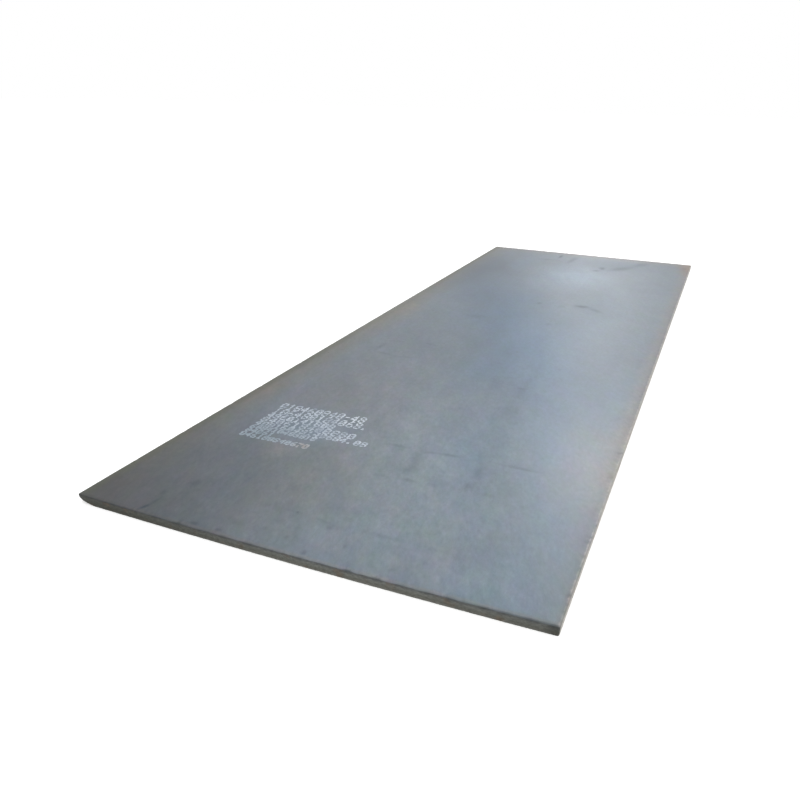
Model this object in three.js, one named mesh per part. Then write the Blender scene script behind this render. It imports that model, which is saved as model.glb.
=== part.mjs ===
// A heavy hot-rolled steel plate, sheared to size and lying flat.
//
// The plate is one rolled piece.  Its two faces are flat and parallel.  All four edges carry the
// section that a mill's rolling-cut shear leaves: the upper arris is drawn down into a soft
// rollover, below it stands a smooth upright land where the knife cut, and the rest of the
// thickness broke away and recedes to a small lower arris.  One end was cut with a shallow
// outward crown, and one of its corners is knocked round, more so towards the underside.
//
// Units are millimetres.  +Z is up, +Y runs along the plate from the crowned end to the straight
// end, and +X across it.  The origin is on the underside, in the middle of the plate's length
// and width.

import * as THREE from 'three';

// ---- driving dimensions -------------------------------------------------------------------

const WIDTH = 2000; // over the two long edges
const LENGTH = 6000; // from the crown's tip to the straight end
const THICKNESS = 40;

const END_CROWN = 13; // how far the crowned end swells beyond its own corners
const CORNER_RADIUS = 10; // the three sharp corners, in plan
const KNOCKED_CORNER_RADIUS = 10; // the crowned end's -X corner, at the upper face
const KNOCKED_CORNER_FOOT_RADIUS = 90; // the same corner at the underside
const KNOCKED_CORNER_CURL = 3; // how fast its radius grows from the upper face down, as a power

const ROLLOVER_WIDTH = 6; // how far in from the edge the upper face starts to fall
const ROLLOVER_DEPTH = 4; // how far it falls before the land
const LAND_HEIGHT = 11; // the smooth upright band that the knife cut
const BREAK_SET_BACK = 1.6; // how far the broken face recedes under the land
const LOWER_ARRIS = 1; // the small worn bevel along the underside

const ROLLOVER_STEPS = 5;
const BREAK_STEPS = 5;
const CORNER_STEPS = 10;
const CROWN_STEPS = 48;

const SCALED_STEEL_COLOUR = 0x8a949b; // blue-grey mill scale
const SCALED_STEEL_ROUGHNESS = 0.45;
const SCALED_STEEL_METALNESS = 0.6;

// ---- plan outline -------------------------------------------------------------------------

const halfWidth = WIDTH / 2;
const halfLength = LENGTH / 2;

// The crowned end is an arc of a large circle whose centre is on the plate's centre line.
const crownRadius = (halfWidth ** 2 + END_CROWN ** 2) / (2 * END_CROWN);
const crownCentre = new THREE.Vector2(0, crownRadius - halfLength);

// Centre of a corner between a long edge and the straight end.
function straightCornerCentre(side) {
  return new THREE.Vector2(side * (halfWidth - CORNER_RADIUS), halfLength - CORNER_RADIUS);
}

// Centre of a corner of the given radius that touches a long edge and the crown from inside.
function crownedCornerCentre(side, radius) {
  const across = halfWidth - radius;
  const drop = Math.sqrt((crownRadius - radius) ** 2 - across ** 2);
  return new THREE.Vector2(side * across, crownCentre.y - drop);
}

// Points on an arc, both ends included, anticlockwise from one angle to the other.
function arcPoints(centre, radius, fromAngle, toAngle, steps) {
  const arc = new THREE.EllipseCurve(centre.x, centre.y, radius, radius, fromAngle, toAngle);
  return arc.getPoints(steps);
}

// The plate's outline in plan at a height, anticlockwise, moved inwards by a distance.  An inset
// only takes radius off the arcs, so the rings are parallel, and each has as many points, which
// lets them be joined one to one.
function outlineRing(inset, height) {
  const quarter = Math.PI / 2;
  const knockedRadius = THREE.MathUtils.lerp(
    KNOCKED_CORNER_RADIUS,
    KNOCKED_CORNER_FOOT_RADIUS,
    (1 - height / THICKNESS) ** KNOCKED_CORNER_CURL,
  );
  const knocked = crownedCornerCentre(-1, knockedRadius);
  const sharp = crownedCornerCentre(1, CORNER_RADIUS);
  const crownStart = knocked.clone().sub(crownCentre).angle();
  const crownEnd = sharp.clone().sub(crownCentre).angle();
  const cornerArc = (centre, radius, from, to) =>
    arcPoints(centre, radius - inset, from, to, CORNER_STEPS);
  return [
    ...cornerArc(straightCornerCentre(1), CORNER_RADIUS, 0, quarter),
    ...cornerArc(straightCornerCentre(-1), CORNER_RADIUS, quarter, 2 * quarter),
    ...cornerArc(knocked, knockedRadius, 2 * quarter, crownStart),
    ...arcPoints(crownCentre, crownRadius - inset, crownStart, crownEnd, CROWN_STEPS).slice(1, -1),
    ...cornerArc(sharp, CORNER_RADIUS, crownEnd, 4 * quarter),
  ];
}

// ---- edge section -------------------------------------------------------------------------

// The sheared edge from the underside up to the upper face, as how far each point stands in from
// the land and how high it is.
function edgeSection() {
  const landTop = THICKNESS - ROLLOVER_DEPTH;
  const landFoot = landTop - LAND_HEIGHT;
  const breakHeight = landFoot - LOWER_ARRIS;
  const section = [{ inset: BREAK_SET_BACK + LOWER_ARRIS, height: 0 }];

  // the break leaves the land upright and falls away faster towards the underside
  for (let step = 0; step <= BREAK_STEPS; step += 1) {
    const down = 1 - step / BREAK_STEPS;
    section.push({ inset: BREAK_SET_BACK * down ** 1.5, height: landFoot - breakHeight * down });
  }

  // the land is upright, and the rollover is a quarter of an ellipse from it to the face
  for (let step = 0; step <= ROLLOVER_STEPS; step += 1) {
    const turn = (Math.PI / 2) * (step / ROLLOVER_STEPS);
    section.push({
      inset: ROLLOVER_WIDTH * (1 - Math.cos(turn)),
      height: landTop + ROLLOVER_DEPTH * Math.sin(turn),
    });
  }
  return section;
}

// ---- solid --------------------------------------------------------------------------------

// Joins rings of equal count into one closed skin, with a flat cap on the first and the last.
function loftedSolid(rings, heights) {
  const count = rings[0].length;
  const positions = [];
  rings.forEach((ring, level) => {
    ring.forEach((point) => positions.push(point.x, point.y, heights[level]));
  });

  const triangles = [];
  for (let level = 0; level + 1 < rings.length; level += 1) {
    for (let index = 0; index < count; index += 1) {
      const next = (index + 1) % count;
      const low = level * count;
      const high = low + count;
      triangles.push(low + index, low + next, high + next);
      triangles.push(low + index, high + next, high + index);
    }
  }

  const lastLevel = (rings.length - 1) * count;
  for (const [a, b, c] of THREE.ShapeUtils.triangulateShape(rings[0], [])) {
    triangles.push(a, c, b);
  }
  for (const [a, b, c] of THREE.ShapeUtils.triangulateShape(rings[rings.length - 1], [])) {
    triangles.push(lastLevel + a, lastLevel + b, lastLevel + c);
  }

  const geometry = new THREE.BufferGeometry();
  geometry.setAttribute('position', new THREE.Float32BufferAttribute(positions, 3));
  geometry.setIndex(triangles);
  geometry.computeVertexNormals();
  return geometry;
}

function steelPlate() {
  const section = edgeSection();
  const rings = section.map((point) => outlineRing(point.inset, point.height));
  const heights = section.map((point) => point.height);
  const material = new THREE.MeshStandardMaterial({
    color: SCALED_STEEL_COLOUR,
    roughness: SCALED_STEEL_ROUGHNESS,
    metalness: SCALED_STEEL_METALNESS,
  });
  const plate = new THREE.Mesh(loftedSolid(rings, heights), material);
  plate.name = 'plate';
  return plate;
}

const part = new THREE.Group();
part.name = 'steel_plate';
part.add(steelPlate());

export default part;
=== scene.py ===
"""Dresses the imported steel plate: mill-scaled faces, sheared edges and a worn dot-printed marking."""

import math
import random

import bmesh
import bpy
from mathutils import Matrix, Vector, noise


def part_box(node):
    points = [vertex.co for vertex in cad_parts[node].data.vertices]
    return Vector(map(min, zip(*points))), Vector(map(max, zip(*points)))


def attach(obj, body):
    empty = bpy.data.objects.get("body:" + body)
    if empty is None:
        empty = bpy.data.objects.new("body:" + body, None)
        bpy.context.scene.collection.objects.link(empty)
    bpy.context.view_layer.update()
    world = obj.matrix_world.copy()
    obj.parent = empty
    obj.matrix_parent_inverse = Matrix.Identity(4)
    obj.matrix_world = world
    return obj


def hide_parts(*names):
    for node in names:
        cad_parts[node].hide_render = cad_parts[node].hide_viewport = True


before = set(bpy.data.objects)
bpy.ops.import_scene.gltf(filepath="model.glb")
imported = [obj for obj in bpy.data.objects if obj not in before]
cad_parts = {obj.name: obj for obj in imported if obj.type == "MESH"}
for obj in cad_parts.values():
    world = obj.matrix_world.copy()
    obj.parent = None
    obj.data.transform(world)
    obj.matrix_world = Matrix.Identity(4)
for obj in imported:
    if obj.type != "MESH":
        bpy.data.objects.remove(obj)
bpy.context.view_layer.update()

MM = 0.001  # the script's unit is the metre

# ---- the plate, as the frame gives it -----------------------------------------------------

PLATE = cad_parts["plate"]
(LEFT, NEAR, UNDERSIDE), (RIGHT, FAR, TOP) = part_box("plate")
ROLLOVER_DEPTH = 4 * MM
LAND_HEIGHT = 11 * MM
LAND_TOP = TOP - ROLLOVER_DEPTH  # where the rollover begins
LAND_FOOT = LAND_TOP - LAND_HEIGHT  # where the knife's smooth land ends and the break begins
END_CROWN = 13 * MM  # how far the crowned end bulges beyond its corners
WELD = 0.002 * MM  # points and levels that are nearer than this are the same

# ---- camera -------------------------------------------------------------------------------

CAMERA_PLACE = Vector((1.27751, -4.98588, TOP + 1.56838))
CAMERA_PITCH = math.radians(22.372)  # downwards
CAMERA_HEADING = math.radians(22.923)  # from straight along the plate towards -X
CAMERA_ROLL = math.radians(1.162)
CAMERA_LENS = 34.12  # millimetres, as the sensor's width is
SENSOR_WIDTH = 36


def set_camera():
    """Puts the camera at a standing person's height off the plate's crowned end."""
    data = bpy.data.cameras.new("camera")
    data.sensor_width = SENSOR_WIDTH
    data.lens = CAMERA_LENS
    camera = bpy.data.objects.new("camera", data)
    bpy.context.scene.collection.objects.link(camera)
    heading = Matrix.Rotation(CAMERA_HEADING, 4, "Z")
    pitch = Matrix.Rotation(math.pi / 2 - CAMERA_PITCH, 4, "X")
    roll = Matrix.Rotation(CAMERA_ROLL, 4, "Z")
    camera.matrix_world = Matrix.Translation(CAMERA_PLACE) @ heading @ pitch @ roll
    bpy.context.scene.camera = camera


# ---- helpers ------------------------------------------------------------------------------


def linear(hex_colour):
    """A linear RGBA colour from an sRGB hex value such as "8A949B"."""
    channels = [int(hex_colour[place:place + 2], 16) / 255 for place in (0, 2, 4)]
    bright = [c / 12.92 if c <= 0.04045 else ((c + 0.055) / 1.055) ** 2.4 for c in channels]
    return (*bright, 1.0)


def add(tree, kind, inputs=None, **settings):
    """Adds one node; an input that is a socket is linked, and any other is set as the value."""
    new = tree.nodes.new(kind)
    for name, value in settings.items():
        setattr(new, name, value)
    for key, value in (inputs or {}).items():
        if isinstance(value, bpy.types.NodeSocket):
            tree.links.new(value, new.inputs[key])
        else:
            new.inputs[key].default_value = value
    return new


def new_object(name, bm):
    """Makes an object at the origin from a bmesh, with its place in its mesh."""
    mesh = bpy.data.meshes.new(name)
    bm.to_mesh(mesh)
    bm.free()
    made = bpy.data.objects.new(name, mesh)
    bpy.context.scene.collection.objects.link(made)
    return made


# ---- relief -------------------------------------------------------------------------------

FACE_SINK = 0.5 * MM  # the rolled face lies this far under the solid's, leaving room for paint
WAVE_HEIGHT = 1.2 * MM  # the face's own waves, from crest to trough
WAVE_SPAN = 900 * MM  # from wave to wave
WAVE_FADE = 250 * MM  # the waves die out over this distance towards the edges
WAVE_LEVEL = 1.3  # the level at which the waves are cut from their noise, in metres

LAND_WAVER = ((3.0 * MM, 110 * MM), (1.2 * MM, 28 * MM))  # height and span of the land's ragged foot
STEADY_FOOT = 6 * MM  # the wavering dies out over this height above the underside
BREAK_RELIEF = ((0.55 * MM, 24 * MM), (0.4 * MM, 9 * MM))  # depth and span of the torn face's relief
BREAK_DEPTH = 0.45 * MM  # the torn relief's mean depth
BREAK_GRAIN_STRETCH = 0.35  # the tear runs down the edge, so its relief is longer that way
TEAR_START = LAND_FOOT + 1 * MM  # from here down the metal is torn, and below the next level fully so
TEAR_FULL = LAND_FOOT - 3 * MM
ARRIS_WEAR = ((1.3 * MM, 60 * MM), (0.9 * MM, 14 * MM))  # depth and span of the wear on the upper arris
ARRIS_FOOT = LAND_TOP - 1 * MM  # the arris wears from this level up
WEAR_LEVEL = 0.31  # the level at which the wear is cut from its noise, in metres
WEAR_FALL, NICK_FALL = 0.5, 0.7  # how far wear and nicks lower the arris, as shares of their depth

NICK_SPACING = 420 * MM  # one nick on average in this length of arris
NICK_SEED = 11
NICK_REACHES = (6, 14)  # least and greatest reach along the edge, in millimetres
NICK_DEPTHS = (0.6, 2.2)  # likewise their depths
NICK_TAIL = 4  # a nick is left out past this many reaches, where it is next to nothing
NICK_MARGIN = 22 * MM  # more than the crown's bulge and the rollover's width together
OUTLINE_LENGTH = 2 * (RIGHT - LEFT + FAR - NEAR)
# places across the crowned end, with how deep the arris is nicked there in millimetres
NEAR_NICKS = (
    (-0.48, 2.6),
    (0.24, 2.8),
    (0.255, 2.2),
    (0.355, 2.4),
    (0.37, 2.0),
    (0.61, 1.6),
    (-0.71, 1.5),
)
NEAR_NICK_REACH = 7 * MM


def smooth_step(low, high, value):
    """How far a value has come from low to high, eased at both ends."""
    share = min(max((value - low) / (high - low), 0.0), 1.0)
    return share * share * (3 - 2 * share)


def ripple(place, layers, stretch=1.0):
    """The sum of noise layers, each a height and a span, at a place."""
    drawn = Vector((place.x, place.y, place.z * stretch))
    return sum(height * noise.noise(drawn / span) for height, span in layers)


def face_drop(x, y):
    """How far the rolled upper face lies below the solid's own."""
    to_edge = min(x - LEFT, RIGHT - x, y - NEAR, FAR - y)
    wave = 0.5 + 0.5 * noise.noise(Vector((x, y, WAVE_LEVEL)) / WAVE_SPAN)
    return FACE_SINK + WAVE_HEIGHT * wave * smooth_step(0, WAVE_FADE, to_edge)


def arris_nicks():
    """Places on the upper arris that were knocked, each with its reach along the edge and depth."""
    nicks = [(Vector((x, NEAR, TOP)), NEAR_NICK_REACH, depth * MM) for x, depth in NEAR_NICKS]
    chance = random.Random(NICK_SEED)
    lengths = (FAR - NEAR, FAR - NEAR, RIGHT - LEFT)
    for _ in range(round(OUTLINE_LENGTH / NICK_SPACING)):
        x = chance.uniform(LEFT, RIGHT)
        y = chance.uniform(NEAR, FAR)
        on_edges = ((LEFT, y, TOP), (RIGHT, y, TOP), (x, FAR, TOP))
        place = Vector(chance.choices(on_edges, weights=lengths)[0])
        reach = chance.uniform(*NICK_REACHES) * MM
        nicks.append((place, reach, chance.uniform(*NICK_DEPTHS) * MM))
    return nicks


def nick_depth(place, nicks):
    """How deep the nicks go at a place; those of the crowned end reach along X alone."""
    depth = 0.0
    for centre, reach, deepest in nicks:
        off = Vector((place.x - centre.x, place.y - centre.y))
        if abs(off.x) < NICK_TAIL * reach and abs(off.y) < NICK_TAIL * reach + NICK_MARGIN:
            run = off.x if abs(centre.y - NEAR) < WELD else off.length
            depth = max(depth, deepest * math.exp(-((run / reach) ** 2)))
    return depth


def edge_wear(bm):
    """The skin's points with their moves: torn metal on the break, knocks and wear on the arris."""
    nicks = arris_nicks()
    moves = []
    for vert in bm.verts:
        place = vert.co
        outward = Vector((vert.normal.x, vert.normal.y, 0)).normalized()
        inward = 0.0
        lift = 0.0
        if place.z < LAND_TOP - WELD:
            torn = 1 - smooth_step(TEAR_FULL, TEAR_START, place.z)
            lower = smooth_step(UNDERSIDE, UNDERSIDE + STEADY_FOOT, place.z)
            relief = BREAK_DEPTH + ripple(place, BREAK_RELIEF, BREAK_GRAIN_STRETCH)
            inward += torn * max(relief, 0.0)
            foot = max(0.0, 1 - abs(place.z - LAND_FOOT) / LAND_HEIGHT)
            lift += foot * lower * ripple(Vector((place.x, place.y, 0)), LAND_WAVER)
        arris = smooth_step(ARRIS_FOOT, TOP, place.z)
        if arris > 0:
            worn = max(ripple(Vector((place.x, place.y, WEAR_LEVEL)), ARRIS_WEAR), 0.0)
            nick = nick_depth(place, nicks)
            inward += arris * (worn + nick)
            lift -= arris * (face_drop(place.x, place.y) + WEAR_FALL * worn + NICK_FALL * nick)
        moves.append((vert, Vector((0, 0, lift)) - outward * inward))
    return moves


# ---- plate --------------------------------------------------------------------------------

LONG_EDGE_STEP = 8 * MM
NEAR_END_STEP = 4 * MM
FAR_END_STEP = 8 * MM
FACE_STEP = 25 * MM
UNDERSIDE_STEP = 100 * MM
FACE_MARGIN = 34 * MM  # between the face's square grid and the plate's outline
CROWN_FACET = 25 * MM  # shorter than the crown's facets and longer than the corners'
LAND_CUTS = 2
NEARLY = 0.9  # an edge of this share of a length is taken to run along all of it
SHARP_TURN = math.radians(38)
SCALE, SHEARED = 0, 1  # the plate's material slots


def rise(edge):
    """How far one end of an edge lies above the other."""
    return abs(edge.verts[0].co.z - edge.verts[1].co.z)


def divide_along(bm, shortest, step):
    """Cuts each level edge of at least a length into steps."""
    edges = [edge for edge in bm.edges if rise(edge) < WELD and edge.calc_length() > shortest]
    longest = max(edge.calc_length() for edge in edges)
    bmesh.ops.subdivide_edges(bm, edges=edges, cuts=round(longest / step) - 1, use_grid_fill=True)


def edge_skin():
    """The plate's skin between its two faces, cut fine enough to carry the wear of its edges."""
    bm = bmesh.new()
    bm.from_mesh(PLATE.data)
    bmesh.ops.remove_doubles(bm, verts=bm.verts, dist=WELD)
    level = [face for face in bm.faces if all(rise(edge) < WELD for edge in face.edges)]
    bmesh.ops.delete(bm, geom=level, context="FACES")

    # without the long triangles' slanted sides, whole bands run between the section's levels
    slanted = [edge for edge in bm.edges if edge.calc_length() > CROWN_FACET and rise(edge) > WELD]
    bmesh.ops.dissolve_edges(bm, edges=slanted, use_verts=False)

    divide_along(bm, NEARLY * (FAR - NEAR), LONG_EDGE_STEP)
    divide_along(bm, NEARLY * (RIGHT - LEFT), FAR_END_STEP)
    divide_along(bm, CROWN_FACET, NEAR_END_STEP)
    upright = [edge for edge in bm.edges if rise(edge) > NEARLY * LAND_HEIGHT]
    bmesh.ops.subdivide_edges(bm, edges=upright, cuts=LAND_CUTS, use_grid_fill=True)
    for face in bm.faces:
        face.material_index = SHEARED if face.calc_center_median().z < LAND_TOP else SCALE
    bm.normal_update()
    return bm


def fill_face(bm, rim, height, step):
    """Closes a level rim of the skin with a square grid and a band of triangles around it."""
    across = RIGHT - LEFT - 2 * FACE_MARGIN
    along = FAR - NEAR - 2 * FACE_MARGIN
    columns = round(across / step)
    rows = round(along / step)
    grid = bmesh.ops.create_grid(bm, x_segments=columns, y_segments=rows, size=0.5)["verts"]
    bmesh.ops.scale(bm, verts=grid, vec=(across, along, 1))
    bmesh.ops.translate(bm, verts=grid, vec=((LEFT + RIGHT) / 2, (NEAR + FAR) / 2, height))
    border = {edge for vert in grid for edge in vert.link_edges if edge.is_boundary}
    bmesh.ops.triangle_fill(bm, edges=rim + list(border), use_beauty=True, normal=(0, 0, 1))
    return grid


def make_plate(scale, sheared):
    """The whole plate: worn edges, gently waved upper face and flat underside."""
    bm = edge_skin()
    rims = [edge for edge in bm.edges if edge.is_boundary]
    upper = [edge for edge in rims if edge.verts[0].co.z > LAND_TOP]
    lower = [edge for edge in rims if edge.verts[0].co.z < LAND_FOOT]
    worn = edge_wear(bm)
    fill_face(bm, lower, UNDERSIDE, UNDERSIDE_STEP)
    for vert in fill_face(bm, upper, TOP, FACE_STEP):
        vert.co.z -= face_drop(vert.co.x, vert.co.y)
    for vert, move in worn:
        vert.co += move
    bmesh.ops.recalc_face_normals(bm, faces=bm.faces)
    plate = new_object("rolled_plate", bm)
    plate.data.materials.append(scale)
    plate.data.materials.append(sheared)
    plate.data.shade_smooth()
    plate.data.set_sharp_from_angle(angle=SHARP_TURN)
    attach(plate, "root")
    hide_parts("plate")
    return plate


# ---- marking ------------------------------------------------------------------------------

# plain figures of five by seven dots, each row of dots written from the top down
FIGURE_COLUMNS, FIGURE_ROWS = 5, 7
FIGURES = {
    "0": "01110 10001 10011 10101 11001 10001 01110",
    "1": "00100 01100 00100 00100 00100 00100 01110",
    "4": "00010 00110 01010 10010 11111 00010 00010",
    "6": "00110 01000 10000 11110 10001 10001 01110",
    "7": "11111 00001 00010 00100 01000 01000 01000",
    "8": "01110 10001 10001 01110 10001 10001 01110",
    "-": "00000 00000 00000 01110 00000 00000 00000",
    ".": "00000 00000 00000 00000 00000 01100 01100",
}
MARKING_LEFT = -737 * MM
# the rows, of figures in no order: top edge, height and pitch of the figures in millimetres, figures,
# share of dots lost, climb along the row
MARKING_ROWS = (
    (-1785, 74, 41, "018460840-48", 0.03, 0.036),
    (-1856, 73, 42, "106480184068.", 0.03, 0.026),
    (-1926, 54, 39, "4860141808", 0.06, 0.010),
    (-1979, 58, 44.5, "840618400880", 0.04, 0.006),
    (-2035, 50, 36.5, "40816048140684.08", 0.06, 0),
    (-2086, 43, 31, "608410486018", 0.10, 0),
    (-2131, 40, 32, "84061", 0.15, 0),
    (-2176, 43, 31.5, "046180840670", 0.10, 0),
)
FIGURE_SHARE = 0.78  # of the pitch, which a figure takes up
FIGURE_SHIFT = 1.2  # how far a figure may slip along its row, in millimetres
DOT_WIDTH = 11.5 * MM
DOT_WIDTHS = (0.8, 1.15)  # the narrowest and widest, as shares of it
DOT_TOP = 0.38  # radius of a dot's flat top, as a share of its width
DOT_SCATTER = (0.8, 1.0)  # how far dots stray across and along the plate, in millimetres
DOT_SIDES = 8
FILM = 0.25 * MM  # thickness of the paint, drawn a little heavier than a sprayed film
FILM_FOOT = 0.05 * MM  # how deep its foot lies in the scale
MARKING_SEED = 4


def paint_dot(bm, x, y, width):
    """One flat drop of paint lying on the plate's upper face."""
    base = TOP - face_drop(x, y)
    drop = bmesh.ops.create_cone(bm, cap_ends=True, segments=DOT_SIDES, depth=FILM + FILM_FOOT,
                                 radius1=width / 2, radius2=DOT_TOP * width)
    bmesh.ops.translate(bm, verts=drop["verts"], vec=(x, y, base + (FILM - FILM_FOOT) / 2))


def paint_row(top, height, pitch, figures, lost, climb, chance):
    """One row of figures as a bmesh, from its top edge and the height and pitch of its figures."""
    bm = bmesh.new()
    dot_up = height * MM / FIGURE_ROWS
    dot_across = FIGURE_SHARE * pitch * MM / FIGURE_COLUMNS
    stray_across, stray_along = DOT_SCATTER
    for number, figure in enumerate(figures):
        slip = chance.uniform(-FIGURE_SHIFT, FIGURE_SHIFT) * MM
        for row, dots in enumerate(FIGURES[figure].split()):
            for column, dot in enumerate(dots):
                along = number * pitch * MM + column * dot_across
                x = MARKING_LEFT + along + slip + chance.gauss(0, stray_across) * MM
                y = top * MM + climb * along - (row + 0.5) * dot_up + chance.gauss(0, stray_along) * MM
                width = DOT_WIDTH * chance.uniform(*DOT_WIDTHS)
                kept = chance.random() > lost
                if dot == "1" and kept:
                    paint_dot(bm, x, y, width)
    return bm


def make_marking(paint):
    """Rows of plain figures that a dot printer left on the scale near the crowned end."""
    chance = random.Random(MARKING_SEED)
    bm = bmesh.new()
    joined = bpy.data.meshes.new("row")
    for row in MARKING_ROWS:
        painted = paint_row(*row, chance)
        painted.to_mesh(joined)
        painted.free()
        bm.from_mesh(joined)
    bpy.data.meshes.remove(joined)
    marking = new_object("marking_figures", bm)
    marking.data.materials.append(paint)
    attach(marking, "root")
    return marking


# ---- what the materials share -------------------------------------------------------------

DEEP = 10.0  # an ellipse's reach in height, so far that the thickness makes no difference


def new_material(name):
    """A material with a bare shader, its tree and the place on the plate."""
    made = bpy.data.materials.new(name)
    made.use_nodes = True
    tree = made.node_tree
    return made, tree, add(tree, "ShaderNodeTexCoord").outputs["Object"]


def region(tree, place, centre, reach, turn, strength):
    """A mask that is strongest in the middle of an ellipse or ellipsoid and fades out at its reach."""
    # an ellipse is given by two numbers, and holds for the whole thickness
    ball = add(tree, "ShaderNodeTexGradient", {"Vector": place}, gradient_type="SPHERICAL")
    ball.texture_mapping.vector_type = "TEXTURE"
    ball.texture_mapping.translation = (*centre, 0)[:3]
    ball.texture_mapping.rotation = (0, 0, math.radians(turn))
    ball.texture_mapping.scale = (*reach, DEEP)[:3]
    mask = add(tree, "ShaderNodeMapRange", {
        "Value": ball.outputs["Fac"], "To Max": strength,
    }, interpolation_type="SMOOTHSTEP")
    return mask.outputs[0]


def shifted(tree, place, span, push):
    """The place pushed about by noise, so that what is drawn there has an uneven outline."""
    cloud = add(tree, "ShaderNodeTexNoise", {"Vector": place, "Scale": 1 / span, "Detail": 3.0})
    centred = add(tree, "ShaderNodeVectorMath", {
        0: cloud.outputs["Color"], 1: (0.5, 0.5, 0.5),
    }, operation="SUBTRACT")
    moved = add(tree, "ShaderNodeVectorMath", {
        0: centred.outputs[0], 1: (2 * push,) * 3, 2: place,
    }, operation="MULTIPLY_ADD")
    return moved.outputs[0]


def total(tree, parts):
    """The sum of several masks; each is made only when it is added, so that few are held at a time."""
    parts = iter(parts)
    result = next(parts)
    for part in parts:
        result = add(tree, "ShaderNodeMath", {0: result, 1: part}, operation="ADD").outputs[0]
    return result


def toned(tree, place, tone, regions):
    """A colour with soft regions of other colours laid over it in order."""
    for _, centre, reach, turn, colour, strength in regions:
        mask = region(tree, place, centre, reach, turn, strength)
        tone = add(tree, "ShaderNodeMix", {0: mask, 6: tone, 7: linear(colour)}, data_type="RGBA").outputs[2]
    return tone


def edged(tree, place, tone, strips):
    """A colour with strips of other colours along the plate's edges, each fading inwards."""
    sides = add(tree, "ShaderNodeSeparateXYZ", {0: place}).outputs
    for axis, edge, end, colour, strength in strips:
        mask = add(tree, "ShaderNodeMapRange", {
            "Value": sides[axis], "From Min": end, "From Max": edge, "To Max": strength,
        }, interpolation_type="SMOOTHSTEP").outputs[0]
        tone = add(tree, "ShaderNodeMix", {0: mask, 6: tone, 7: linear(colour)}, data_type="RGBA").outputs[2]
    return tone


def straightened(tree, place):
    """The place with the crowned end's curve taken out, so that its outline lies at NEAR all along."""
    sides = add(tree, "ShaderNodeSeparateXYZ", {0: place}).outputs
    square = add(tree, "ShaderNodeMath", {0: sides["X"], 1: sides["X"]}, operation="MULTIPLY")
    along = add(tree, "ShaderNodeMath", {
        0: square.outputs[0], 1: -END_CROWN / RIGHT ** 2, 2: sides["Y"],
    }, operation="MULTIPLY_ADD")
    return add(tree, "ShaderNodeCombineXYZ", {0: sides["X"], 1: along.outputs[0], 2: sides["Z"]}).outputs[0]


# ---- knocks on the crowned end, with their painted shade ----------------------------------

# where its upper arris was knocked, darkened partly as dark steel and partly as painted shade in the dents:
# place across, reach along it in millimetres, strength
SHADED_KNOCKS = (
    (-0.815, 40, 0.26),
    (-0.75, 32, 0.28),
    (-0.60, 30, 0.20),
    (-0.49, 44, 0.40),
    (-0.36, 42, 0.22),
    (-0.275, 34, 0.33),
    (-0.16, 42, 0.42),
    (-0.06, 48, 0.17),
    (0.055, 36, 0.32),
    (0.15, 30, 0.28),
    (0.245, 36, 0.54),
    (0.36, 34, 0.40),
    (0.46, 34, 0.15),
    (0.555, 38, 0.20),
    (0.63, 34, 0.37),
    (0.75, 32, 0.30),
    (0.815, 34, 0.32),
    (0.90, 38, 0.35),
    (0.98, 24, 0.30),
)
SHADED_KNOCK_REACH = (13 * MM, 13 * MM)  # inwards from the end, and up and down
# the knocks' colour: dark steel with painted shade
KNOCK_SHADE_COLOUR = "33383A"
MARK_DRIFT = (26 * MM, 5 * MM)  # what frays a mark's outline: the noise's span, and how far it pushes


def knocked(tree, place, tone):
    """A colour with ragged dark bruises laid over it where the crowned end's arris was knocked, partly dark
    steel and partly painted shade of the dents.
    """
    ragged = straightened(tree, shifted(tree, place, *MARK_DRIFT))
    marks = (
        region(tree, ragged, (x, NEAR, LAND_TOP), (reach * MM, *SHADED_KNOCK_REACH), 0, strength)
        for x, reach, strength in SHADED_KNOCKS
    )
    mixed = add(tree, "ShaderNodeMix", {
        0: total(tree, marks), 6: tone, 7: linear(KNOCK_SHADE_COLOUR),
    }, data_type="RGBA")
    return mixed.outputs[2]


# ---- mill scale ---------------------------------------------------------------------------

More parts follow.
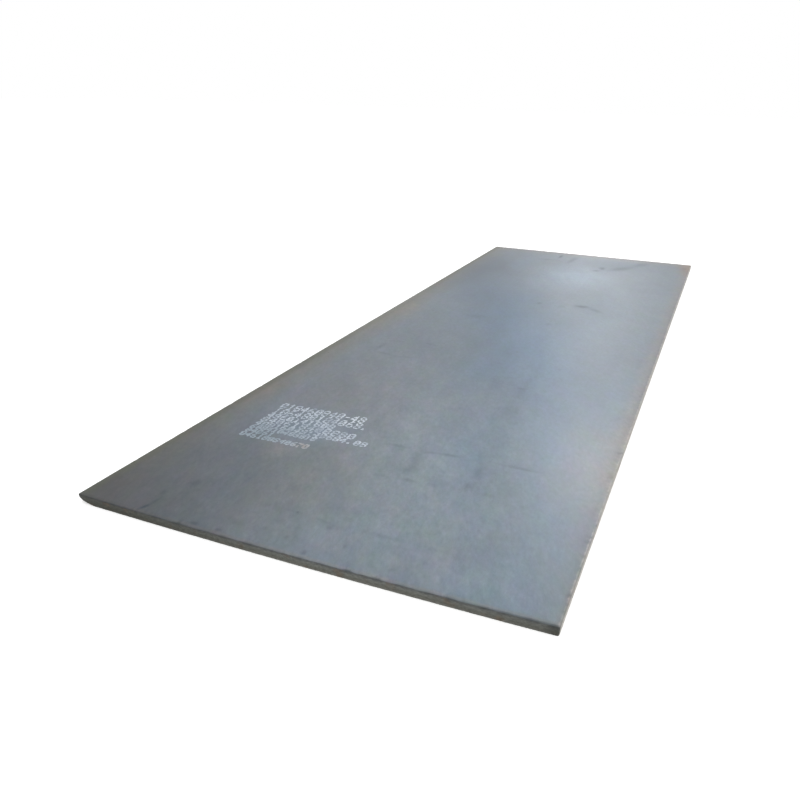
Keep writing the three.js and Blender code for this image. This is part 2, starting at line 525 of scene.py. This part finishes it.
# broad tones of the scale, in order: what, centre, reach across and along, turn, colour, strength
BASE_TONE = "65717C"
SCALE_TONES = (
    ("pale run down the middle", (0.09, -2.25), (0.66, 1.95), 17, "808B94", 0.90),
    ("warmer left half", (-0.50, -1.60), (0.60, 1.40), 12, "717378", 0.58),
    ("bluer run across the plate", (-0.03, 0.20), (0.60, 3.1), 24, "48627A", 0.82),
    # painted highlight: the far middle is lightened in the colour as a broad sheen, beside the lamps' own
    ("pale far middle", (0.02, 1.90), (0.51, 0.83), 0, "7E8FA1", 0.60),
    ("dark spot before the far end", (0.34, 2.56), (0.38, 0.50), 0, "445666", 0.60),
    ("dark left side near the far end", (-0.80, 1.95), (0.42, 1.15), 0, "3E4D5B", 0.70),
    ("handled right side", (1.0, -1.75), (0.32, 0.9), 0, "7F7F7F", 0.60),
    ("duller right side", (0.72, -0.50), (0.37, 1.5), 0, "525C66", 0.56),
    ("duller patch across from it", (0.43, 0.88), (0.32, 1.15), 0, "455A68", 0.50),
    ("paler left side", (-0.93, 0.15), (0.26, 0.75), 0, "7C7A77", 0.60),
    ("bluer streak beside the pale run", (0.34, -1.90), (0.26, 0.80), 8, "5F7B92", 0.30),
    ("paler middle", (0.07, 0.15), (0.24, 0.60), 0, "7A8CA0", 0.20),
    ("darker streak across from it", (-0.52, 1.05), (0.33, 0.90), 12, "405160", 0.24),
    ("bluer patch before the far end", (-0.52, 2.30), (0.20, 0.50), 0, "5F7A95", 0.26),
    ("bluer start of the blue run", (0.03, -0.85), (0.28, 0.60), 0, "4F7090", 0.20),
    ("paler streak to its left", (-0.38, -0.95), (0.22, 0.45), 0, "8890A0", 0.16),
    ("darker spot beside the blue run", (0.28, 1.50), (0.26, 0.80), 0, "3F4C58", 0.17),
    ("darker left side past the middle", (-0.55, 1.00), (0.36, 1.10), 0, "45566A", 0.16),
    ("darker right side at the middle", (0.62, 0.02), (0.30, 0.60), 0, "48586A", 0.16),
    ("warmer right side", (0.78, -1.45), (0.22, 0.50), 0, "8F8573", 0.11),
    ("browner right side before it", (0.86, -1.95), (0.20, 0.35), 0, "77685C", 0.20),
)
# brown margins along the edges: axis, edge, where it ends, colour, strength
MARGINS = (
    ("X", LEFT, LEFT + 260 * MM, "66604F", 0.60),
    ("X", RIGHT, RIGHT - 120 * MM, "77726E", 0.60),
    ("Y", FAR, FAR - 260 * MM, "7B736E", 0.45),
)
# tones that lie over the margins, in the same terms; the overspray is a haze of paint round the figures
CORNER_TONES = (
    ("duller right side of the crowned end", (1.0, -2.85), (0.55, 1.1), 0, "59656F", 0.66),
    ("reddish bloom at the left edge", (-0.98, -1.68), (0.18, 0.42), 0, "75615D", 0.30),
    ("browned far right corner", (1.0, 3.0), (0.17, 0.75), 0, "776453", 0.80),
    ("bluer left side near the far end", (-0.88, 1.95), (0.24, 1.3), 0, "43566B", 0.32),
    # painted shade: the near left corner is darkened in the colour as a darker reflection of the surroundings
    # there
    ("dark shadowed corner", (-1.02, -3.0), (1.03, 1.37), 0, "47484A", 1.0),
    ("browned near edge", (-0.21, -2.58), (0.38, 0.66), 0, "696962", 0.40),
    ("cleaner stretch of the near edge", (0.71, -2.86), (0.24, 0.34), 0, "7D90A3", 0.24),
    ("bloom below the figures", (-0.48, -2.31), (0.19, 0.15), 0, "877F7D", 0.30),
    ("overspray", (-0.50, -1.98), (0.36, 0.33), 0, "7C92A9", 0.36),
)
# the outermost strip along each edge, in the margins' terms, over everything before
RIMS = (
    ("X", LEFT, LEFT + 75 * MM, "4B4E3F", 0.85),
    # painted light: the right strip is pale where the right arris catches the light
    ("X", RIGHT, RIGHT - 12 * MM, "C8C4BE", 0.50),
    ("Y", FAR, FAR - 60 * MM, "7A6F65", 0.55),
)
# stretches of the long edges' upper arrises that differ from the rest
ARRIS_TONES = (
    ("arris rubbed pale by slings", (1.0, -1.78), (0.032, 1.30), 0, "C4C0BA", 0.18),
    ("drier stretch of the left arris", (-1.0, 0.35), (0.07, 1.50), 0, "8A8C8A", 0.30),
    ("browner right arris by the corner", (1.0, -2.95), (0.03, 0.55), 0, "786F68", 0.32),
)
# where lifting gear scuffed the scale, in order: centre, reach across and along in millimetres,
# turn, strength
LIFTING_MARKS = (
    ((0.01, -2.00), (80, 24), -3, 0.25),
    ((0.18, -2.00), (60, 22), 13, 0.18),
    ((0.265, -1.99), (110, 22), 6, 0.19),
    ((0.60, -1.98), (150, 22), 0, 0.25),
    ((0.145, -2.09), (46, 140), 15, 0.28),
    ((0.15, -2.20), (38, 80), -4, 0.22),
    ((0.44, -2.10), (42, 130), 10, 0.19),
    ((0.44, -2.235), (34, 70), -14, 0.24),
    ((0.06, -2.305), (60, 24), 4, 0.17),
    ((0.185, -2.295), (52, 26), -8, 0.28),
    ((0.30, -2.29), (45, 22), 0, 0.14),
    ((0.54, -2.275), (55, 22), -6, 0.13),
    ((-0.12, -2.73), (80, 20), -3, 0.11),
    ((0.02, -2.745), (75, 18), -12, 0.17),
    ((0.10, -2.755), (50, 34), 0, 0.11),
    ((0.27, -2.745), (135, 24), 0, 0.17),
    ((0.50, -2.745), (135, 20), 0, 0.10),
    ((-0.685, -2.955), (42, 17), 68, 0.95),
    ((-0.675, -2.90), (62, 17), 84, 0.42),
    ((-0.69, -2.83), (48, 20), 111, 0.34),
    ((-0.69, -0.68), (115, 28), 91, 0.30),
    ((-0.63, -0.53), (95, 24), 17, 0.13),
    ((-0.595, -0.80), (115, 24), -15, 0.14),
    ((-0.455, -0.805), (105, 24), 12, 0.14),
    ((-0.42, -0.49), (90, 24), -18, 0.12),
    ((0.345, -1.015), (66, 26), 13, 0.15),
    ((0.36, -0.96), (50, 620), 0, 0.12),
    ((0.32, 0.93), (95, 66), 4, 0.48),
    ((0.435, 0.86), (120, 48), -47, 0.28),
    ((0.225, 2.425), (44, 95), 8, 0.45),
    ((0.19, 2.295), (60, 50), 40, 0.40),
    ((0.39, 2.49), (90, 240), -32, 0.31),
    ((0.545, 2.775), (80, 220), -23, 0.26),
    ((-0.11, 2.685), (46, 250), -5, 0.28),
    ((-0.35, 2.59), (150, 46), 10, 0.16),
    ((-0.255, 2.80), (28, 120), 0, 0.56),
)
# spots of thicker scale and old rust, in order: centre, reach across and along in millimetres, strength
DARK_SPOTS = (
    ((0.06, -2.775), (25, 30), 0.30),
    ((0.055, -2.965), (21, 24), 0.36),
    ((-0.055, -2.905), (18, 22), 0.20),
    ((0.175, -2.87), (20, 24), 0.15),
    ((-0.16, -2.885), (19, 23), 0.22),
    ((0.39, -2.93), (18, 23), 0.20),
    ((-0.25, -2.735), (24, 30), 0.17),
    ((-0.28, -2.895), (42, 34), 0.17),
    ((-0.425, -2.97), (36, 20), 0.44),
    ((-0.315, -2.97), (22, 20), 0.40),
    ((-0.625, -2.71), (36, 46), 0.33),
    ((-0.01, 0.88), (30, 66), 0.28),
    ((0.17, 0.855), (44, 70), 0.14),
    ((0.19, 0.325), (40, 50), 0.18),
    ((-0.345, 0.29), (125, 80), 0.18),
    ((0.375, -1.345), (85, 90), 0.14),
    ((0.945, 2.785), (45, 110), 0.14),
)
MARK_COLOUR = "3A434E"  # of the scuffs and the spots

# noise that makes these outlines uneven: its span, and how far it pushes
TONE_DRIFT = (420 * MM, 130 * MM)
MARGIN_DRIFT = (90 * MM, 35 * MM)
RIM_DRIFT = (30 * MM, 8 * MM)

# the crowned end is rubbed greyer, from nil at the first distance from it to all at the second
RUBBED_BAND = (24 * MM, 9 * MM)
RUBBED_SATURATION, RUBBED_VALUE = 0.5, 0.94

BRUISE_COLOUR = "3B3D3B"
BRUISE_SPAN = 45 * MM
BRUISE_NOISE = (0.35, 0.65)  # the noise's values from least to most bruised
BRUISE_STRENGTH = (0.20, 0.80)  # the least and the most
BRUISE_DEPTH = (1.2 * MM, 3.6 * MM)  # below the top, from nil to all
BRUISE_BAND = (60 * MM, 25 * MM)  # from the end, from nil to all


def bruised(tree, place, sides, tone):
    """A colour darkened where the crowned end's rollover is bruised in ragged stretches."""
    ragged = add(tree, "ShaderNodeTexNoise", {"Vector": place, "Scale": 1 / BRUISE_SPAN, "Detail": 3.0})
    strength = add(tree, "ShaderNodeMapRange", {
        "Value": ragged.outputs["Fac"], "From Min": BRUISE_NOISE[0], "From Max": BRUISE_NOISE[1],
        "To Min": BRUISE_STRENGTH[0], "To Max": BRUISE_STRENGTH[1],
    })
    rolled = add(tree, "ShaderNodeMapRange", {
        "Value": sides["Z"], "From Min": TOP - BRUISE_DEPTH[0], "From Max": TOP - BRUISE_DEPTH[1],
    }, interpolation_type="SMOOTHSTEP")
    at_end = add(tree, "ShaderNodeMapRange", {
        "Value": sides["Y"], "From Min": NEAR + BRUISE_BAND[0], "From Max": NEAR + BRUISE_BAND[1],
        "To Max": strength.outputs[0],
    })
    bruise = add(tree, "ShaderNodeMath", {0: rolled.outputs[0], 1: at_end.outputs[0]}, operation="MULTIPLY")
    mixed = add(tree, "ShaderNodeMix", {
        0: bruise.outputs[0], 6: tone, 7: linear(BRUISE_COLOUR),
    }, data_type="RGBA")
    return mixed.outputs[2]


def mill_scale_tone(tree, place):
    """The scale's broad tones with painted shade at the near left corner and a painted highlight in the far
    middle, brown margins, marks of handling with painted shade in the knocks and painted light on the right
    rim, and the mask of the scuffs.
    """
    uneven = shifted(tree, place, *TONE_DRIFT)
    tone = toned(tree, uneven, linear(BASE_TONE), SCALE_TONES)
    unmarked = edged(tree, shifted(tree, place, *MARGIN_DRIFT), tone, MARGINS)
    tone = toned(tree, uneven, unmarked, CORNER_TONES)
    outline = straightened(tree, shifted(tree, place, *RIM_DRIFT))
    tone = toned(tree, outline, edged(tree, outline, tone, RIMS), ARRIS_TONES)
    from_end = add(tree, "ShaderNodeSeparateXYZ", {0: outline}).outputs["Y"]
    rubbed = add(tree, "ShaderNodeMapRange", {
        "Value": from_end, "From Min": NEAR + RUBBED_BAND[0], "From Max": NEAR + RUBBED_BAND[1],
    })
    tone = add(tree, "ShaderNodeHueSaturation", {
        "Saturation": RUBBED_SATURATION, "Value": RUBBED_VALUE, "Fac": rubbed.outputs[0], "Color": tone,
    }).outputs[0]

    smeared = shifted(tree, place, *MARK_DRIFT)
    spots = [(centre, reach, 0, strength) for centre, reach, strength in DARK_SPOTS]
    marks = (
        region(tree, smeared, centre, (reach[0] * MM, reach[1] * MM), turn, strength)
        for centre, reach, turn, strength in (*LIFTING_MARKS, *spots)
    )
    sides = add(tree, "ShaderNodeSeparateXYZ", {0: place}).outputs
    upper_side = add(tree, "ShaderNodeMapRange", {
        "Value": sides["Z"], "From Min": UNDERSIDE, "From Max": LAND_FOOT,
    }).outputs[0]
    scuffed = add(tree, "ShaderNodeMath", {
        0: total(tree, marks), 1: upper_side,
    }, operation="MINIMUM").outputs[0]
    tone = add(tree, "ShaderNodeMix", {
        0: scuffed, 6: tone, 7: linear(MARK_COLOUR),
    }, data_type="RGBA").outputs[2]
    tone = knocked(tree, place, bruised(tree, place, sides, tone))

    # the underside has neither paint nor marks of handling
    tone = add(tree, "ShaderNodeMix", {0: upper_side, 6: unmarked, 7: tone}, data_type="RGBA")
    return tone.outputs[2], scuffed


RUN_OFF = math.radians(20)  # water ran off the plate on this bearing from its length
CLOUD_STRETCH = 2.2  # and drew the clouds out so much along it
CLOUD_SPAN = 90 * MM
CLOUD_TINT = 0.20  # the share of the clouds' own colours
PATCH_SPAN = 420 * MM
GRAIN_SPAN = 18 * MM  # real grit is too fine to show on a whole plate, so it is drawn this coarse
STREAK_WIDTH = 16 * MM
STREAK_SHAPE = 0.012  # a streak's width over its length, which runs with the rolling
# how far each pattern lightens and darkens the scale
PATCH_SHADE, CLOUD_SHADE, STREAK_SHADE, GRAIN_SHADE = 0.30, 0.58, 0.10, 0.46

# pits and flecks of rolled-in scale, which lie in the middles of cells
PIT_CELL = 150 * MM
PIT_CHANCE = 0.62  # a cell's own brightness is over this in about one of three, and those have a fleck
PIT_REACH = (0.045, 0.02)  # from a cell's middle, in shares of the cell, from nil to all
PIT_DRIFT = (9 * MM, 3 * MM)
PIT_STRENGTH = 0.30
PIT_COLOUR = "33383D"
PIT_DEPTH = 2.0  # in heights of the grain

GRAIN_HEIGHT = 0.12 * MM
GRAIN_STRENGTH = 0.5
SCALE_ROUGHNESS = (0.33, 0.43)  # at the clouds' darkest and lightest
SCUFF_ROUGHNESS, PIT_ROUGHNESS = 0.15, 0.4  # added there
SCALE_METALLIC = 0.6


def flecked(tree, place):
    """The mask of the pits and flecks, seen where a chosen cell's middle lies near the surface."""
    cells = add(tree, "ShaderNodeTexVoronoi", {
        "Vector": shifted(tree, place, *PIT_DRIFT), "Scale": 1 / PIT_CELL,
    })
    chosen = add(tree, "ShaderNodeMath", {
        0: cells.outputs["Color"], 1: PIT_CHANCE,
    }, operation="GREATER_THAN")
    near_middle = add(tree, "ShaderNodeMapRange", {
        "Value": cells.outputs["Distance"], "From Min": PIT_REACH[0], "From Max": PIT_REACH[1],
        "To Max": PIT_STRENGTH,
    })
    pits = add(tree, "ShaderNodeMath", {
        0: chosen.outputs[0], 1: near_middle.outputs[0],
    }, operation="MULTIPLY")
    return pits.outputs[0]


def mill_scaled_steel():
    """Hot rolled carbon steel under its blue-grey oxide skin: a dull sheen that is soft and half
    metallic, clouds of thicker and thinner scale drawn out by water, streaks along the rolling, a
    gritty grain, flecks where scale was rolled in, and brown margins."""
    made, tree, place = new_material("mill_scaled_steel")
    shader = tree.nodes["Principled BSDF"]
    tone, scuffed = mill_scale_tone(tree, place)

    stretched = add(tree, "ShaderNodeMapping", {
        "Vector": place, "Rotation": (0, 0, RUN_OFF), "Scale": (1, CLOUD_STRETCH, 1),
    }, vector_type="TEXTURE").outputs[0]
    clouds = add(tree, "ShaderNodeTexNoise", {
        "Vector": stretched, "Scale": 1 / CLOUD_SPAN, "Detail": 5.0, "Roughness": 0.78,
    })
    drawn_out = add(tree, "ShaderNodeMapping", {"Vector": place, "Scale": (1, STREAK_SHAPE, 1)}).outputs[0]
    streaks = add(tree, "ShaderNodeTexNoise", {
        "Vector": drawn_out, "Scale": 1 / STREAK_WIDTH, "Detail": 2.0,
    })
    grain = add(tree, "ShaderNodeTexNoise", {
        "Vector": stretched, "Scale": 1 / GRAIN_SPAN, "Detail": 4.0, "Roughness": 0.75,
    })
    tinted = add(tree, "ShaderNodeMix", {
        0: CLOUD_TINT, 6: tone, 7: clouds.outputs["Color"],
    }, data_type="RGBA", blend_type="OVERLAY").outputs[2]
    patches = add(tree, "ShaderNodeTexNoise", {
        "Vector": stretched, "Scale": 1 / PATCH_SPAN, "Detail": 2.0, "Roughness": 0.6,
    })
    shades = (
        (patches.outputs["Fac"], PATCH_SHADE),
        (clouds.outputs["Fac"], CLOUD_SHADE),
        (streaks.outputs["Fac"], STREAK_SHADE),
        (grain.outputs["Fac"], GRAIN_SHADE),
    )
    light = 1.0
    for source, depth in shades:
        shade = add(tree, "ShaderNodeMath", {0: source, 1: depth, 2: 1 - depth / 2}, operation="MULTIPLY_ADD")
        light = add(tree, "ShaderNodeMath", {0: shade.outputs[0], 1: light}, operation="MULTIPLY").outputs[0]

    pits = flecked(tree, place)
    pitted = add(tree, "ShaderNodeMix", {0: pits, 6: tinted, 7: linear(PIT_COLOUR)}, data_type="RGBA")
    shaded = add(tree, "ShaderNodeHueSaturation", {"Value": light, "Color": pitted.outputs[2]})
    tree.links.new(shaded.outputs[0], shader.inputs["Base Color"])

    smooth, rough = SCALE_ROUGHNESS
    dullness = total(tree, [
        add(tree, "ShaderNodeMapRange", {
            "Value": clouds.outputs["Fac"], "To Min": smooth, "To Max": rough,
        }).outputs[0],
        add(tree, "ShaderNodeMath", {0: scuffed, 1: SCUFF_ROUGHNESS}, operation="MULTIPLY").outputs[0],
        add(tree, "ShaderNodeMath", {0: pits, 1: PIT_ROUGHNESS}, operation="MULTIPLY").outputs[0],
    ])
    tree.links.new(dullness, shader.inputs["Roughness"])
    height = add(tree, "ShaderNodeMath", {
        0: pits, 1: -PIT_DEPTH, 2: grain.outputs["Fac"],
    }, operation="MULTIPLY_ADD")
    relief = add(tree, "ShaderNodeBump", {
        "Height": height.outputs[0], "Distance": GRAIN_HEIGHT, "Strength": GRAIN_STRENGTH,
    })
    tree.links.new(relief.outputs[0], shader.inputs["Normal"])
    shader.inputs["Metallic"].default_value = SCALE_METALLIC
    return made


# ---- sheared edge -------------------------------------------------------------------------

# its bands from the underside up: share of the thickness, colour; painted darker than the steel as the shade
# of the crowned end, which faces away from the lamps, and darkest under the arris partly as a painted dark
# reflection
EDGE_BANDS = (
    (0.0, "92928B"),
    (0.10, "85857E"),
    (0.22, "76766F"),
    (0.36, "71726B"),
    (0.46, "767872"),
    (0.57, "7B7D77"),
    (0.68, "757773"),
    (0.78, "686B6A"),
    (0.93, "5D605E"),
)
EDGE_TONES = (
    ("dark left third of the crowned end", (-0.92, -3.0), (1.18, 0.25), 0, "45463F", 0.76),
    ("duller right third", (1.0, -3.0), (0.60, 0.25), 0, "5F605A", 0.36),
    ("dark right corner", (0.99, -2.99), (0.06, 0.1), 0, "3A3C35", 0.60),
)
FRAY_DRIFT = (40 * MM, 3.5 * MM)  # what frays the bands: the noise's span, and how far it pushes

# what pales the long edges: bare steel in part, and painted light in part
LIT_TRIM_COLOUR = "CFCBC5"
LIT_TRIM_STRENGTH = 0.88
LIT_TRIM_DEPTH = (9 * MM, 6 * MM)  # inwards from the long edges, from nil to all
LIT_TRIM_START = (17 * MM, 22 * MM)  # past the crowned end, from nil to all

TEAR_SPAN = 6 * MM
TEAR_SHAPE = 0.45  # a tear's height over its length
TEAR_NOISE = (0.25, 0.75)  # the noise's values from the darkest to the lightest
TEAR_SHADES = (0.62, 1.38)  # how dark and how light they make the steel
TEAR_HEIGHT = 0.6 * MM
TEAR_STRENGTH = 0.8
RUST_SPAN = 60 * MM
RUST_NOISE = (0.55, 0.70)  # the noise's values from clean to rusty
RUST_STRENGTH = 0.45
RUST_COLOUR = "6F5C48"
BREAK_ROUGHNESS, LAND_ROUGHNESS = 0.68, 0.45
SMOOTHING_HEIGHT = 3 * MM  # over which the break turns into the land
SHEARED_METALLIC = 0.35


def trimmed_and_lit(tree, place, tone):
    """A colour made pale on the long edges, past the crowned end, partly as bare steel and partly as painted
    light on them.
    """
    sides = add(tree, "ShaderNodeSeparateXYZ", {0: place}).outputs
    off_middle = add(tree, "ShaderNodeMath", {0: sides["X"]}, operation="ABSOLUTE")
    outer = add(tree, "ShaderNodeMapRange", {
        "Value": off_middle.outputs[0], "From Min": RIGHT - LIT_TRIM_DEPTH[0], "From Max": RIGHT - LIT_TRIM_DEPTH[1],
        "To Max": LIT_TRIM_STRENGTH,
    })
    past_end = add(tree, "ShaderNodeMapRange", {
        "Value": sides["Y"], "From Min": NEAR + LIT_TRIM_START[0], "From Max": NEAR + LIT_TRIM_START[1],
    })
    pale = add(tree, "ShaderNodeMath", {0: outer.outputs[0], 1: past_end.outputs[0]}, operation="MULTIPLY")
    mixed = add(tree, "ShaderNodeMix", {
        0: pale.outputs[0], 6: tone, 7: linear(LIT_TRIM_COLOUR),
    }, data_type="RGBA")
    return mixed.outputs[2]


def sheared_steel():
    """Steel torn by the shear: the knife leaves a smooth dark land under the upper arris, painted dark
    partly as a dark reflection, and the break below it is lighter and matt, with short dark tears and
    blotches of rust.  All of it is painted darker than the steel as shade, for the crowned end.  The long
    edges were cut last and are the palest, partly bare steel and partly painted light from the side."""
    made, tree, place = new_material("sheared_steel")
    shader = tree.nodes["Principled BSDF"]
    frayed = shifted(tree, place, *FRAY_DRIFT)
    height_up = add(tree, "ShaderNodeSeparateXYZ", {0: frayed}).outputs["Z"]
    share = add(tree, "ShaderNodeMapRange", {"Value": height_up, "From Min": UNDERSIDE, "From Max": TOP})
    bands = add(tree, "ShaderNodeValToRGB", {0: share.outputs[0]})
    ramp = bands.color_ramp
    while len(ramp.elements) < len(EDGE_BANDS):
        ramp.elements.new(1.0)
    for element, (position, colour) in zip(ramp.elements, EDGE_BANDS):
        element.position = position
        element.color = linear(colour)
    tone = knocked(tree, place, toned(tree, place, bands.outputs[0], EDGE_TONES))
    tone = trimmed_and_lit(tree, place, tone)

    flat = add(tree, "ShaderNodeMapping", {"Vector": place, "Scale": (TEAR_SHAPE, TEAR_SHAPE, 1)}).outputs[0]
    tears = add(tree, "ShaderNodeTexNoise", {
        "Vector": flat, "Scale": 1 / TEAR_SPAN, "Detail": 4.0, "Roughness": 0.65,
    })
    blotches = add(tree, "ShaderNodeTexNoise", {"Vector": place, "Scale": 1 / RUST_SPAN, "Detail": 4.0})
    rust = add(tree, "ShaderNodeMapRange", {
        "Value": blotches.outputs["Fac"], "From Min": RUST_NOISE[0], "From Max": RUST_NOISE[1],
        "To Max": RUST_STRENGTH,
    }, interpolation_type="SMOOTHSTEP")
    rusty = add(tree, "ShaderNodeMix", {
        0: rust.outputs[0], 6: tone, 7: linear(RUST_COLOUR),
    }, data_type="RGBA")
    light = add(tree, "ShaderNodeMapRange", {
        "Value": tears.outputs["Fac"], "From Min": TEAR_NOISE[0], "From Max": TEAR_NOISE[1],
        "To Min": TEAR_SHADES[0], "To Max": TEAR_SHADES[1],
    })
    shaded = add(tree, "ShaderNodeHueSaturation", {"Value": light.outputs[0], "Color": rusty.outputs[2]})
    tree.links.new(shaded.outputs[0], shader.inputs["Base Color"])
    dullness = add(tree, "ShaderNodeMapRange", {
        "Value": height_up, "From Min": LAND_FOOT, "From Max": LAND_FOOT + SMOOTHING_HEIGHT,
        "To Min": BREAK_ROUGHNESS, "To Max": LAND_ROUGHNESS,
    })
    tree.links.new(dullness.outputs[0], shader.inputs["Roughness"])
    relief = add(tree, "ShaderNodeBump", {
        "Height": tears.outputs["Fac"], "Distance": TEAR_HEIGHT, "Strength": TEAR_STRENGTH,
    })
    tree.links.new(relief.outputs[0], shader.inputs["Normal"])
    shader.inputs["Metallic"].default_value = SHEARED_METALLIC
    return made


# ---- marking paint ------------------------------------------------------------------------

FRESH_PAINT, WORN_PAINT = "C4CEDA", "8492A2"
WEAR_SPAN = 28 * MM
WEAR_NOISE = (0.42, 0.64)  # the noise's values from fresh to worn
WEAR_STRENGTH = 0.80
PAINT_TONES = (
    ("faded lower rows", (-0.64, -2.16), (0.44, 0.22), 0, "7E8E99", 0.88),
    ("worn left ends", (-0.78, -1.98), (0.14, 0.42), 0, "8F9CAA", 0.60),
    ("greyer middle rows", (-0.46, -2.03), (0.38, 0.17), 0, "8C9AAA", 0.36),
    ("fresh right ends of the upper rows", (-0.31, -1.84), (0.13, 0.11), 0, "DAE1EA", 0.75),
    ("browned last figures", (-0.395, -2.198), (0.075, 0.05), 0, "989391", 1.0),
)
PAINT_ROUGHNESS = 0.6


def marking_paint():
    """White marking paint sprayed through a row of nozzles: a thin matt film, worn by boots and
    slings so that the steel greys it unevenly, and browned where the scale under it rusts."""
    made, tree, place = new_material("marking_paint")
    shader = tree.nodes["Principled BSDF"]
    wear = add(tree, "ShaderNodeTexNoise", {
        "Vector": place, "Scale": 1 / WEAR_SPAN, "Detail": 4.0, "Roughness": 0.6,
    })
    thin = add(tree, "ShaderNodeMapRange", {
        "Value": wear.outputs["Fac"], "From Min": WEAR_NOISE[0], "From Max": WEAR_NOISE[1],
        "To Max": WEAR_STRENGTH,
    })
    worn = add(tree, "ShaderNodeMix", {
        0: thin.outputs[0], 6: linear(FRESH_PAINT), 7: linear(WORN_PAINT),
    }, data_type="RGBA")
    tone = toned(tree, place, worn.outputs[2], PAINT_TONES)
    tree.links.new(tone, shader.inputs["Base Color"])
    shader.inputs["Roughness"].default_value = PAINT_ROUGHNESS
    return made


# ---- floor, lamps and world ---------------------------------------------------------------

WORLD_STRENGTH = 0.9  # of the white surroundings, as they light matt surfaces
FLOOR_REACH = 60  # metres to each side
FLOOR_COLOUR = "DCDCDC"  # as the plate sees it
FLOOR_LIFT = 0.42  # added to the floor as the camera sees it, which whitens all but its contact shadow
STREAK_BEARING = math.radians(-8)  # from the camera, off the plate's length
# upright softboxes that lay a sheen down the plate: watts, place along Y, foot, head and width in metres
SOFTBOXES = ((230, 12, 6, 14, 1.6), (190, 30, 2, 24, 3.0))
SIDE_FILL = (110, 8, -0.5, 0, 2, 8)  # watts, place, foot, head and width of a low softbox at the right


def make_floor():
    """A plain pale floor; the camera sees it white, apart from the plate's contact shadow."""
    bm = bmesh.new()
    bmesh.ops.create_grid(bm, x_segments=1, y_segments=1, size=FLOOR_REACH)
    floor = new_object("floor", bm)
    made, tree, _ = new_material("studio_floor")
    shader = tree.nodes["Principled BSDF"]
    seen = add(tree, "ShaderNodeLightPath").outputs["Is Camera Ray"]
    colour = add(tree, "ShaderNodeMix", {
        0: seen, 6: linear(FLOOR_COLOUR), 7: linear("FFFFFF"),
    }, data_type="RGBA")
    lift = add(tree, "ShaderNodeMath", {0: seen, 1: FLOOR_LIFT}, operation="MULTIPLY")
    tree.links.new(colour.outputs[2], shader.inputs["Base Color"])
    tree.links.new(lift.outputs[0], shader.inputs["Emission Strength"])
    shader.inputs["Emission Color"].default_value = linear("FFFFFF")
    shader.inputs["Roughness"].default_value = 1.0
    shader.inputs["Specular IOR Level"].default_value = 0.0
    floor.data.materials.append(made)


def set_lamps():
    """Upright softboxes beyond the far end, and a low one at the right, turned towards the plate."""
    places = [
        (watts, CAMERA_PLACE.x + (y - CAMERA_PLACE.y) * math.tan(STREAK_BEARING), y, foot, head, width)
        for watts, y, foot, head, width in SOFTBOXES
    ]
    places.append(SIDE_FILL)
    for watts, x, y, foot, head, width in places:
        data = bpy.data.lights.new("softbox", "AREA")
        data.shape = "RECTANGLE"
        data.size = width
        data.size_y = head - foot
        data.energy = watts
        lamp = bpy.data.objects.new("softbox", data)
        bpy.context.scene.collection.objects.link(lamp)
        lamp.location = (x, y, (foot + head) / 2)
        lamp.rotation_euler = Vector((x, y, 0)).to_track_quat("Z", "Y").to_euler()
        lamp.visible_camera = False


def set_world():
    """White surroundings, at full white for the camera and for reflections."""
    world = bpy.data.worlds.new("studio")
    bpy.context.scene.world = world
    world.use_nodes = True
    tree = world.node_tree
    path = add(tree, "ShaderNodeLightPath")
    seen = add(tree, "ShaderNodeMath", {
        0: path.outputs["Is Camera Ray"], 1: path.outputs["Is Glossy Ray"],
    }, operation="MAXIMUM")
    level = add(tree, "ShaderNodeMix", {0: seen.outputs[0], 2: WORLD_STRENGTH, 3: 1.0}, data_type="FLOAT")
    background = tree.nodes["Background"]
    background.inputs["Color"].default_value = (1, 1, 1, 1)
    tree.links.new(level.outputs[0], background.inputs["Strength"])


bpy.context.scene.view_settings.view_transform = "Standard"
set_camera()
make_floor()
set_lamps()
set_world()
make_plate(mill_scaled_steel(), sheared_steel())
make_marking(marking_paint())
